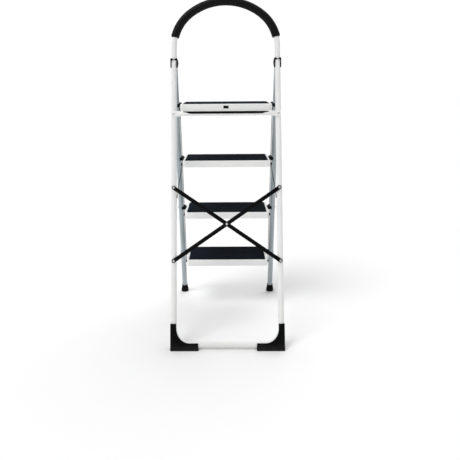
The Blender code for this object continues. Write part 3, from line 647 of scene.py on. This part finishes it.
def rear_fasteners():
    face = -TUBE_R - GAP - BRACE_THICKNESS
    rivet_r = 0.0023
    head = rivet_head(0.0050, 0.0019)
    pin = shank(rivet_r, 0.0065)
    rivet = joined(head, pin)
    for name, side, way in SIDES:
        for level, s in (("bottom", BRACE_BOTTOM_S), ("top", BRACE_TOP_S)):
            place = REAR @ Matrix.Translation((side * HALF_PITCH, face - GAP, s)) @ AIM["-y"]
            piece(f"rivet_{level}_{name}", rivet, place, "rear_frame", "zinc_steel",
                  f"brace_rivet_{level}_{name}")
        place = REAR @ Matrix.Translation((side * HALF_PITCH, CROSS_N - 0.0028, CROSS_S)) @ AIM["-y"]
        piece(f"cross_bar_rivet_{name}", joined(rivet_head(0.0044, 0.0016), pin), place, "rear_frame",
              "zinc_steel", f"cross_tube_rivet_{name}")
        low = joint_point("link_turn")
        place = Matrix.Translation((side * (LINK_TUBE_X[0] - GAP), low.y, low.z)) @ AIM[flip(way)]
        piece(f"link_rivet_{name}", joined(rivet_head(0.0042, 0.0016), pin), place, "rear_frame",
              "zinc_steel", f"link_pin_{name}")
    middle = (BRACE_BOTTOM_S + BRACE_TOP_S) / 2
    back = turned([(0.0, 0.0), (0.0042, 0.0), (0.0042, -0.0008), (0.0034, -0.0014), (0.0, -0.0014)])
    back.transform(Matrix.Translation((0, 0, -0.0059)))
    place = REAR @ Matrix.Translation((0.0, face - 0.0031, middle)) @ AIM["-y"]
    piece("rivet_centre", joined(head, shank(rivet_r, 0.006), back), place, "rear_frame", "zinc_steel",
          "brace_centre_rivet")


def flip(way):
    """The opposite way along X."""
    return {"+x": "-x", "-x": "+x"}[way]


def floor_cut(place):
    """Everything under the floor, as seen by a piece that place puts in the frame."""
    floor = box((-0.5, -0.9, -0.3), (0.5, 0.9, 0.0))
    floor.transform(place.inverted())
    return floor


def corner_shoes():
    """L-shaped shoes whose inner side leaves the tube bare."""
    outer_x = 0.2413
    inner_x = 0.2165
    end_x = 0.1236
    top_s = 0.1085
    below = -0.02
    corner = 0.0015
    flare = 0.0030
    bend_centre = (HALF_PITCH - BEND_R, BOTTOM_S + BEND_R)
    count = 30
    inside = []
    for i in range(count + 1):
        turn = radians(-90.0 * i / count)
        radius = inner_x - bend_centre[0] + flare * ease(i / count)
        inside.append((bend_centre[0] + radius * cos(turn), bend_centre[1] + radius * sin(turn)))
    outline = [(outer_x, below)] + arc((outer_x - corner, top_s - corner), corner, 0.0, 90.0, 5)
    outline += [(inner_x, top_s)] + inside + [(end_x, inside[-1][1]), (end_x, below)]
    tube = swept(u_path(0.3), TUBE_R + CLEARANCE)
    for name, side, _ in SIDES:
        mesh = plate([[(side * x, s) for x, s in outline]], FOOT_THICKNESS, "front", 0.0, 0.0011, 3)
        mesh = carved(mesh, tube, floor_cut(REAR))
        piece(f"corner_shoe_{name}", mesh, REAR, "rear_frame", "foot_rubber", f"corner_foot_{name}")


def pivot_brackets():
    """Collars scooped for the hoop's joint, with cheeks either side of the rails."""
    top = PIVOT_S + 0.011
    collar = PIVOT_S + 0.004
    low = PIVOT_S - 0.0285
    rail_half = TUBE_R + 0.0006
    outline = [(-0.0105, low)] + arc((0.008, low + 0.002), 0.002, -90.0, -20.0, 4)
    outline += arc((PIVOT_N, PIVOT_S), 0.0135, -75.0, 75.0, 24)
    outline += [(0.018, top)] + arc((-0.0145, top - 0.001), 0.001, 90.0, 180.0, 4)
    outline += arc((-0.0145, collar + 0.001), 0.001, 180.0, 270.0, 4)
    outline += [(-0.0115, collar), (-0.0105, collar - 0.002)]
    for name, side, _ in SIDES:
        x = side * HALF_PITCH
        mesh = plate([outline], 2 * BRACKET_HALF_WIDTH, "side", x, 0.0010, 3)
        cuts = (rod((x, 0, low - 0.02), (x, 0, top + 0.02), TUBE_R + CLEARANCE, 64),
                rod((x, -0.03, top + 0.0045), (x, 0.0, top + 0.0045), 0.0090, 64),
                box((x - 0.0126, -0.03, low - 0.01), (x + 0.0126, 0.0, collar)),
                box((x - rail_half, 0.001, low - 0.01), (x + rail_half, 0.06, PIVOT_S + 0.0085)),
                box((x - rail_half, 0.019, low - 0.01), (x + rail_half, 0.06, top + 0.02)))
        piece(f"pivot_bracket_{name}", carved(mesh, *cuts), REAR, "rear_frame", "black_plastic",
              f"hinge_bracket_{name}")


def bolt_head(radius, height):
    """Smooth button head with a hexagon socket."""
    dome = [(radius * sin(radians(a)), height * (0.3 + 0.7 * cos(radians(a)))) for a in range(12, 91, 9)]
    profile = [(0.0, height)] + dome + [(radius, height * 0.1), (radius * 0.96, 0.0), (0.0, 0.0)]
    socket = rod((0, 0, height * 0.35), (0, 0, height * 2), radius * 0.48, 6)
    return carved(turned(profile), socket)


def lock_nut(radius, height):
    """Hexagon nut with chamfered corners and its nylon ring."""
    nut = softened(rod((0, 0, -height), (0, 0, 0), radius, 6), 0.0004, 2)
    ring = turned([(radius * 0.55, -height - 0.0008), (radius * 0.75, -height - 0.0006),
                   (radius * 0.80, -height + 0.0001), (radius * 0.50, -height + 0.0001),
                   (radius * 0.50, -height - 0.0006), (radius * 0.55, -height - 0.0008)])
    return joined(nut, ring)


def main_bolts():
    half = BRACKET_HALF_WIDTH + GAP
    run = 2 * half
    stem = rod((0, 0, 0), (0, 0, run), 0.0039, 24)
    head = bolt_head(0.0064, 0.0020)
    head.transform(Matrix.Translation((0, 0, run)))
    bolt = joined(stem, head, lock_nut(0.0057, 0.0014))
    screw = joined(bolt_head(0.0029, 0.0015), shank(0.0018, 0.008))
    for name, side, way in SIDES:
        start = side * (HALF_PITCH - half)
        place = REAR @ Matrix.Translation((start, PIVOT_N, PIVOT_S)) @ AIM[way]
        piece(f"pivot_bolt_{name}", bolt, place, "rear_frame", "zinc_steel", f"main_pivot_bolt_{name}")
        place = REAR @ Matrix.Translation((side * (HALF_PITCH + half), 0.0, SCREW_S)) @ AIM[way]
        piece(f"bracket_screw_{name}", screw, place, "rear_frame", "zinc_steel", f"hoop_screw_{name}")


# Front frame

def front_rails():
    bottom = -RAIL_TO_FLOOR + 0.012
    for name, side, _ in SIDES:
        x = side * HALF_PITCH
        mesh = swept([(x, 0, bottom), (x, 0, 0.006)], TUBE_R)
        # The rails' blue-grey paint is partly painted shade for their down-facing sides
        piece(f"climbing_rail_{name}", softened(mesh, 0.001, 3, 60.0), FRONT, "front_frame", "grey_paint",
              f"rail_{name}")


def foot_boots():
    """Round boots, cut level with the floor."""
    ground = -RAIL_TO_FLOOR
    above = ground + 0.043
    profile = [(0.0, above), (0.0131, above), (0.0142, above - 0.0002), (0.0149, above - 0.0012),
               (0.0152, above - 0.0030), (0.0152, above - 0.0060), (0.0148, above - 0.0070),
               (0.0148, above - 0.0080), (0.0156, ground + 0.030), (0.0168, ground + 0.024),
               (0.0179, ground + 0.018), (0.0186, ground + 0.013), (FRONT_FOOT_R, ground + 0.0090),
               (FRONT_FOOT_R, ground - 0.012), (0.0, ground - 0.012)]
    for name, side, _ in SIDES:
        x = side * HALF_PITCH
        mesh = turned(profile, 48)
        mesh.transform(Matrix.Translation((x, 0, 0)))
        hole = rod((x, 0, ground + 0.011), (x, 0, above + 0.02), TUBE_R + CLEARANCE, 48)
        piece(f"rail_boot_{name}", carved(mesh, hole, floor_cut(FRONT)), FRONT, "front_frame",
              "foot_rubber", f"front_foot_{name}")


def step_bolts():
    head = bolt_head(0.0062, 0.0029)
    for step in STEPS:
        inner = half_width(step) - SHEET - GAP
        run = HALF_PITCH + TUBE_R + GAP - inner
        cap = head.copy()
        cap.transform(Matrix.Translation((0, 0, run)))
        bolt = joined(rod((0, 0, 0), (0, 0, run), 0.0029, 20), cap, lock_nut(0.0051, 0.0022))
        centre = joint_point(f"{step}_turn")
        for name, side, way in SIDES:
            place = (Matrix.Translation((side * inner, centre.y, centre.z)) @ AIM[way]
                     @ Matrix.Rotation(0.4, 4, "Z"))
            piece(f"{step}_pivot_{name}", bolt, place, "front_frame", "zinc_steel", f"{step}_bolt_{name}")


def saddle_outline():
    """Seen along the rail, from the rail's axis, on the right side."""
    half_depth = 0.011
    seat_r = TUBE_R + GAP
    wrap_r = seat_r + 0.0015
    corner = 0.0015
    reach_x = SADDLE_X[1] - HALF_PITCH
    inner = SADDLE_X[0] - HALF_PITCH + corner
    shoulder = 180.0 - degrees(asin(half_depth / wrap_r))
    wrap_end = degrees(acos(reach_x / wrap_r))
    seat_end = degrees(acos(reach_x / seat_r))
    outline = arc((inner, corner - half_depth), corner, 180.0, 270.0, 5)
    outline += arc((0.0, 0.0), wrap_r, -shoulder, -wrap_end, 6)
    outline += arc((0.0, 0.0), seat_r, 360.0 - seat_end, seat_end, 32)
    outline += arc((0.0, 0.0), wrap_r, wrap_end, shoulder, 6)
    return outline + arc((inner, half_depth - corner), corner, 90.0, 180.0, 5)


def rail_saddles():
    """Black spacers that cradle the rails at the steps' bolts."""
    for step in STEPS:
        centre = joint_point(f"{step}_turn")
        s = -(PIVOT.z - centre.z) / cos(FRONT_LEAN)
        start = half_width(step) + GAP
        run = SADDLE_X[0] + 0.001 - start
        boss = turned([(0.0, run), (0.0075, run),
                       (0.0075, 0.0006), (0.0069, 0.0), (0.0, 0.0)])
        for name, side, way in SIDES:
            outline = [(side * (HALF_PITCH + x), n) for x, n in saddle_outline()]
            block = plate([outline], 0.017, "level", s, 0.0008, 3)
            collar = boss.copy()
            collar.transform(Matrix.Translation((side * start, 0, s)) @ AIM[way])
            piece(f"{step}_rail_saddle_{name}", joined(block, collar), FRONT, "front_frame", "black_plastic",
                  f"{step}_saddle_{name}")


# Platform and treads

def step_ring(step, inset, z, count=9):
    """Outline of a step, set in from its edge, at height z from its pivot."""
    back, front = reach(step)
    half = half_width(step)
    low = (inset - half, inset - back)
    high = (half - inset, front - inset)
    radius = max(0.016 - inset, 0.004)
    return [(x, y, z) for x, y in rounded_rectangle(low, high, radius, count)]


def step_pan(step):
    """Pressed tray with a rolled top edge; the platform's also holds the latch."""
    low = -apron(step)
    middle = low * 0.42
    # Inset from the edge and height, from the top's inner edge down the apron
    rings = [(0.0105, 0.0070), (0.0099, 0.0071), (0.0094, 0.0076), (0.0090, 0.0084), (0.0085, 0.0090),
             (0.0078, 0.0093), (0.0050, 0.0093), (0.0032, 0.0091), (0.0018, 0.0085), (0.0008, 0.0075),
             (0.0002, 0.0062), (0.0, 0.0045), (0.0, middle + 0.0050), (-0.0002, middle + 0.0035),
             (-0.0006, middle + 0.0018), (-0.0006, middle - 0.0018), (-0.0002, middle - 0.0035),
             (0.0, middle - 0.0050), (0.0, low + 0.0040), (-0.0004, low + 0.0032), (-0.0007, low + 0.0018),
             (-0.0004, low + 0.0006), (0.0005, low)]
    mesh = loft([step_ring(step, inset, z) for inset, z in rings])

    def wall(guide):
        solidify = guide.modifiers.new("wall", "SOLIDIFY")
        solidify.thickness = SHEET
        solidify.offset = -1.0
        solidify.use_even_offset = True

    mesh = evaluated(mesh, wall)
    if step == "platform":
        back = reach(step)[0]
        opening = rounded_rectangle((-0.0135, -0.0107), (0.0135, 0.0019), 0.0045, 10)
        mesh = carved(mesh, plate([opening], 0.02, "front", back))
        shelf = rounded_rectangle((-0.180, -back - 0.019), (0.180, 0.001 - back), 0.004, 4)
        lip = plate([shelf], SHEET, "level", SHEET / 2 + low, 0.0005, 2)
        for side in (-1, 1):
            ear = rounded_rectangle((LATCH_PIN.y - 0.0035, -0.0035), (LATCH_PIN.y + 0.0050, 0.0062), 0.001, 4)
            tab = plate([ear], SHEET, "side", side * EAR_X, 0.0003, 2)
            lip = joined(lip, tab)
        mesh = joined(mesh, lip)
    piece(f"{step}_tray", mesh, STEP[step], step, "white_paint", f"{step}_pan", sharp=50.0)


def step_mat(step):
    """Rubber mat with a raised rim and ribs across it."""
    back, front = reach(step)
    base = PAD_TOP - PAD_THICKNESS
    inset = PAD_INSET + 0.0006
    margin = 0.0045
    rings = [(inset + 0.0030, PAD_TOP - 0.0009), (inset + 0.0024, PAD_TOP - 0.0008),
             (inset + 0.0021, PAD_TOP - 0.0002), (inset + 0.0016, PAD_TOP), (inset + 0.0008, PAD_TOP),
             (inset + 0.0002, PAD_TOP - 0.0004), (inset, PAD_TOP - 0.0012), (inset, base)]
    work = opened(loft([step_ring(step, i, z) for i, z in rings]))
    pitch = 0.0045
    floor = PAD_TOP - 0.0010
    y_low = -back + inset + margin
    y_high = front - inset - margin
    count = int((y_high - y_low) / pitch)
    corner = 0.010
    for i in range(count + 1):
        y = y_low + (y_high - y_low) * i / count
        edge = min(max(min(y - y_low, y_high - y), 0.0), corner)
        cut = corner - (corner ** 2 - (corner - edge) ** 2) ** 0.5
        rib(work, y, half_width(step) - inset - margin - 0.8 * cut, floor)
    piece(f"{step}_mat", closed(work), STEP[step], step, "tread_rubber", f"{step}_pad", sharp=50.0)


def rib(work, y, half, floor):
    """One rounded anti-slip rib across the mat."""
    section = [(-0.0012, 0.0), (-0.0009, 0.0007), (-0.0004, 0.0010), (0.0004, 0.0010), (0.0009, 0.0007),
               (0.0012, 0.0)]
    loops = []
    for x, scale in ((-half, 0.35), (-half + 0.0008, 1.0), (half - 0.0008, 1.0), (half, 0.35)):
        loops.append([work.verts.new((x, y + dy * scale, floor + dz * scale)) for dy, dz in section])
    for first, second in zip(loops, loops[1:]):
        for a in range(len(section) - 1):
            work.faces.new((first[a], second[a], second[a + 1], first[a + 1]))
    work.faces.new(loops[0])
    work.faces.new(list(reversed(loops[-1])))


def stud_bush():
    """Black bush with a domed head's seat, along Z from a stud's or link's face."""
    return turned([(0.0, 0.0038), (0.0036, 0.0038), (0.0052, 0.0034), (0.0058, 0.0026), (0.0060, 0.0010),
                   (0.0062, 0.0004), (0.0062, 0.0), (0.0, 0.0)])


def step_studs(step):
    """Studs of the tie bars, each with a black bush and a zinc head outside the bar."""
    start = half_width(step)
    run = TIE_X[1] + GAP - start
    pin = rod((0, 0, -0.001), (0, 0, run), 0.0024, 20)
    head = rivet_head(*STUD_HEAD)
    for name, side, way in SIDES:
        place = STEP[step] @ Matrix.Translation((side * start, TIE_PIN.x, TIE_PIN.y)) @ AIM[way]
        piece(f"{step}_link_stud_{name}", pin, place, step, "zinc_steel")
        if step != "tread_2":
            top = place @ Matrix.Translation((0, 0, run))
            piece(f"{step}_stud_bush_{name}", stud_bush(), top, step, "black_plastic")
            cap = top @ Matrix.Translation((0, 0, BUSH_SEAT))
            piece(f"{step}_stud_head_{name}", head, cap, step, "zinc_steel")


# Latch

def latch():
    """Drawn pressed in: its nose clears the cross bar, its button sits in the platform's slot."""
    blade = 0.0015
    nose_top = -0.0353
    nose_low = -0.0381
    nose_tip = -0.0124
    outline = arc((0.0, 0.0), 0.0030, 0.0, 180.0, 16)
    outline += [(-0.0030, -0.0008), (-blade - 0.0004, -0.0022), (-blade, -0.0040),
                (-blade, nose_top + 0.0010), (-blade - 0.0010, nose_top)]
    outline += arc((nose_tip + 0.0012, nose_top - 0.0012), 0.0012, 90.0, 180.0, 5)
    outline += arc((nose_tip + 0.0008, nose_low + 0.0008), 0.0008, 180.0, 270.0, 4)
    outline += arc((blade - 0.0020, nose_low + 0.0020), 0.0020, 270.0, 360.0, 6)
    outline += [(blade, -0.0040), (0.0024, -0.0022), (0.0030, -0.0010)]
    arm = plate([outline], 2 * LATCH_HALF_WIDTH, "side", 0.0, 0.0004, 2)
    top, low = 0.0001, -0.0085
    rings = []
    for depth, inset in ((0.0080, 0.0022), (0.0079, 0.0012), (0.0074, 0.0004), (0.0066, 0.0), (0.0008, 0.0)):
        half = LATCH_HALF_WIDTH - inset
        loop = rounded_rectangle((-half, low + inset), (half, top - inset), 0.0040 - inset, 10)
        rings.append([(x, -depth, z) for x, z in loop])
    press = Matrix.Rotation(LATCH_PRESS, 4, "X")
    button = loft(rings)
    for mesh in (arm, button):
        mesh.transform(press)
    notch = box((0.0040, -0.0034, -0.0040), (0.02, 0.01, 0.01))
    arm = carved(arm, notch)
    button = carved(button, notch)
    end = EAR_X + SHEET / 2
    axle = rod((-end, 0, 0), (end, 0, 0), 0.0015, 20)
    piece("latch_button", joined(arm, axle, button), LATCH, "latch", "black_plastic", "latch_lever")

    turns = 4
    per_turn = 24
    coil_start = 0.0050
    coil_length = 0.0058
    coil_r = 0.0025
    coil = []
    for i in range(turns * per_turn + 1):
        turn = 2 * pi * i / per_turn
        x = coil_start + coil_length * i / (turns * per_turn)
        coil.append((x, coil_r * cos(turn), coil_r * sin(turn)))
    piece("latch_return_spring", swept(coil, 0.0004, 4), LATCH, "platform", "zinc_steel", "latch_spring")


# Linkage

def linkage():
    """Tie bars between the steps, and link bars cranked from the uprights to tread 2."""
    crank_start = 0.15
    crank_run = 0.73
    spacing = RISE / cos(FRONT_LEAN)
    start = joint_point("tie_turn")
    shift = Matrix.Translation((0, spacing * 2 * sin(FRONT_LEAN), -spacing * 2 * cos(FRONT_LEAN)))
    lean = Matrix.Rotation(pi / 2 + FRONT_LEAN, 4, "X")
    low = joint_point("link_turn")
    run = start - low
    length = hypot(run.y, run.z)
    thickness = LINK_TUBE_X[1] - LINK_TUBE_X[0]
    step_out = LINK_TUBE_X[0] - LINK_STEP_X[0]
    stations = [length * (crank_start + crank_run * i / 12) for i in range(13)]
    stand = Matrix(((0, -1, 0, 0), (1, 0, 0, 0), (0, 0, 1, 0), (0, 0, 0, 1)))
    tilt = Matrix.Rotation(atan2(run.z, run.y), 4, "X")
    for name, side, way in SIDES:
        mesh = plate([stadium(3 * spacing, BAR_HALF_WIDTH)], TIE_X[1] - TIE_X[0], "side",
                     side * sum(TIE_X) / 2, 0.0004, 2)
        piece(f"connecting_bar_{name}", mesh, Matrix.Translation(start) @ shift @ lean, "tie_bars",
              "black_paint", f"tie_bar_{name}")
        mesh = plate([stadium(length, BAR_HALF_WIDTH)], thickness, "front", 0.0, 0.0004, 2)
        bend(mesh, stations, lambda x: side * step_out * ease((x / length - crank_start) / crank_run))
        place = Matrix.Translation((side * sum(LINK_TUBE_X) / 2, low.y, low.z)) @ tilt @ stand
        piece(f"folding_link_{name}", mesh, place, "link_bars", "black_paint", f"link_bar_{name}")
        eye = Matrix.Translation((side * (LINK_STEP_X[1] + 0.0001), start.y, start.z)) @ AIM[way]
        piece(f"folding_link_bush_{name}", stud_bush(), eye, "link_bars", "black_plastic")
        cap = eye @ Matrix.Translation((0, 0, BUSH_SEAT))
        piece(f"folding_link_head_{name}", rivet_head(*STUD_HEAD), cap, "link_bars", "zinc_steel")


# Stage, lights and camera

def stage():
    work = bmesh.new()
    bmesh.ops.create_grid(work, x_segments=2, y_segments=2, size=30.0)
    mesh = closed(work)
    n = Nodes("floor")
    colour = n.mix(n.noise(0.8, 3.0), (0.88, 0.88, 0.88, 1), (0.90, 0.90, 0.90, 1))
    mesh.materials.append(n.finish(colour, 0.85))
    floor = bpy.data.objects.new("floor", mesh)
    bpy.context.scene.collection.objects.link(floor)


def lights():
    """Two broad suns, and a white surround that is dimmer behind the camera."""
    bpy.context.scene.view_settings.view_transform = "Standard"
    world = bpy.data.worlds.new("studio")
    world.use_nodes = True
    nodes, links = world.node_tree.nodes, world.node_tree.links
    direction = nodes.new("ShaderNodeTexCoord").outputs["Generated"]
    split = nodes.new("ShaderNodeSeparateXYZ")
    links.new(direction, split.inputs[0])
    glow = nodes.new("ShaderNodeMapRange")
    glow.interpolation_type = "SMOOTHSTEP"
    for key, value in (("From Min", 0.0), ("From Max", 0.8), ("To Min", 0.38), ("To Max", 1.05)):
        glow.inputs[key].default_value = value
    links.new(split.outputs["Y"], glow.inputs["Value"])
    background = nodes["Background"]
    background.inputs["Color"].default_value = (1.0, 1.0, 1.0, 1.0)
    links.new(glow.outputs[0], background.inputs["Strength"])
    bpy.context.scene.world = world
    sun("key", (-0.45, -0.55, 1.0), 1.55, 28.0)
    sun("top", (0.35, 0.45, 1.0), 0.70, 50.0)


def sun(name, towards, power, spread):
    data = bpy.data.lights.new(name, "SUN")
    data.energy = power
    data.angle = radians(spread)
    obj = bpy.data.objects.new(name, data)
    obj.rotation_euler = Vector(towards).to_track_quat("Z", "Y").to_euler()
    bpy.context.scene.collection.objects.link(obj)


def camera():
    """The photo's camera, as solved from the ladder's own lines."""
    yaw = 0.0140
    pitch = radians(7.13)
    roll = -0.0083
    data = bpy.data.cameras.new("camera")
    data.sensor_width = 36.0
    data.lens = 44.24
    data.shift_x = 0.0235
    data.shift_y = -0.1816
    data.clip_end = 200.0
    obj = bpy.data.objects.new("camera", data)
    base = MOUNTS["rear_foot_left"]["pos_m"][1]
    obj.matrix_world = (Matrix.Translation((0.0033, base - 2.2631, 1.1471))
                        @ Matrix.Rotation(yaw, 4, "Z")
                        @ Matrix.Rotation(pi / 2 - pitch, 4, "X")
                        @ Matrix.Rotation(roll, 4, "Z"))
    bpy.context.scene.collection.objects.link(obj)
    bpy.context.scene.camera = obj


rear_tubes()
foam_sleeve()
cross_bar()
shade_support_strip()
braces()
rear_fasteners()
corner_shoes()
pivot_brackets()
main_bolts()
front_rails()
foot_boots()
step_bolts()
rail_saddles()
for step in STEPS:
    step_pan(step)
    step_mat(step)
    step_studs(step)
latch()
linkage()
for name, _, _ in SIDES:
    plug = frame["nodes"][f"hoop_plug_{name}"]
    plug.data.materials.clear()
    plug.data.materials.append(MATERIALS["black_plastic"])
stage()
lights()
camera()
